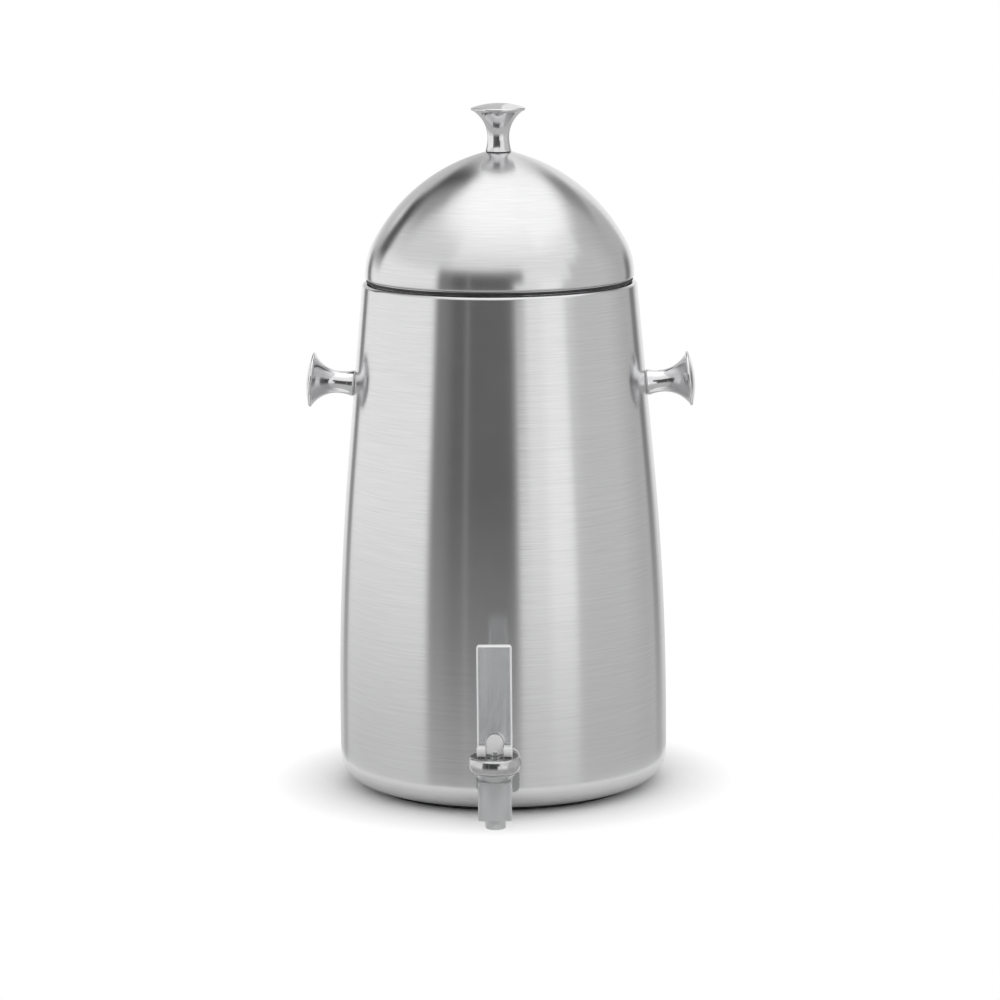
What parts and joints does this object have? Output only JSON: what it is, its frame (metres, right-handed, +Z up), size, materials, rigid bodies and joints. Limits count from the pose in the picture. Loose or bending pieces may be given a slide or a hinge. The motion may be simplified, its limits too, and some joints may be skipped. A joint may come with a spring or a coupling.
{
  "type": "coffee urn",
  "caption": "Tapering insulated steel urn with a domed lift-off lid, polished knobs and a clear self-closing lever tap for serving hot drinks.",
  "frame": {"origin": "middle of the foot ring, on the surface that the urn stands on", "axes": "+Z up along the urn's axis, -Y towards the tap, the side knobs along +X and -X"},
  "size_m": [0.3398, 0.3763, 0.5976],
  "materials": {
    "brushed_body": "satin",
    "inner_steel": "satin",
    "polished_metal": "polished",
    "fastener_steel": "gloss",
    "black_rubber": "matte",
    "clear_plastic": "gloss",
    "silicone": "satin",
    "felt": "matte"
  },
  "bodies": {
    "urn": {"outer_shell": "brushed_body", "inner_vessel": "inner_steel", "vessel_floor": "inner_steel", "insulation_jacket": "felt", "base_plate": "inner_steel", "base_screws": "fastener_steel", "foot_ring": "black_rubber", "left_handle_knob": "polished_metal", "right_handle_knob": "polished_metal", "left_handle_washer": "black_rubber", "right_handle_washer": "black_rubber", "left_handle_backing_plate": "inner_steel", "right_handle_backing_plate": "inner_steel", "left_handle_screw": "fastener_steel", "right_handle_screw": "fastener_steel", "tap_ferrule": "inner_steel", "tap_outer_gasket": "silicone", "tap_inner_washer": "silicone", "tap_nut": "clear_plastic", "tap_body": "clear_plastic", "tap_bonnet": "polished_metal", "seat_cup": "silicone", "tap_spring": "fastener_steel"},
    "stem": {"valve_stem": "clear_plastic"},
    "lever": {"tap_lever": "clear_plastic", "lever_pin": "clear_plastic"},
    "lid": {"lid_dome": "brushed_body", "lid_liner": "inner_steel", "lid_gasket": "black_rubber", "lid_knob": "polished_metal", "lid_knob_washer": "black_rubber", "lid_knob_screw": "fastener_steel", "lid_knob_backing_washer": "fastener_steel"}
  },
  "joints": [
    {"name": "lid_lift", "type": "slide", "parent": "urn", "child": "lid", "axis": [0, 0, 1], "range_m": [0, 0.2]},
    {"name": "stem_lift", "type": "slide", "parent": "urn", "child": "stem", "axis": [0, 0, 1], "range_m": [0, 0.005], "stiffness_N_per_m": 600, "springref_m": -0.006, "deforming": ["tap_spring", "seat_cup"]},
    {"name": "lever_tilt", "type": "hinge", "parent": "stem", "child": "lever", "pos_m": [0, -0.21, 0.08], "axis": [1, 0, 0], "range_deg": [0, 60]}
  ],
  "couplings": [
    {"joint": "lever_tilt", "follows": "stem_lift", "rad_per_m": 209.44}
  ]
}
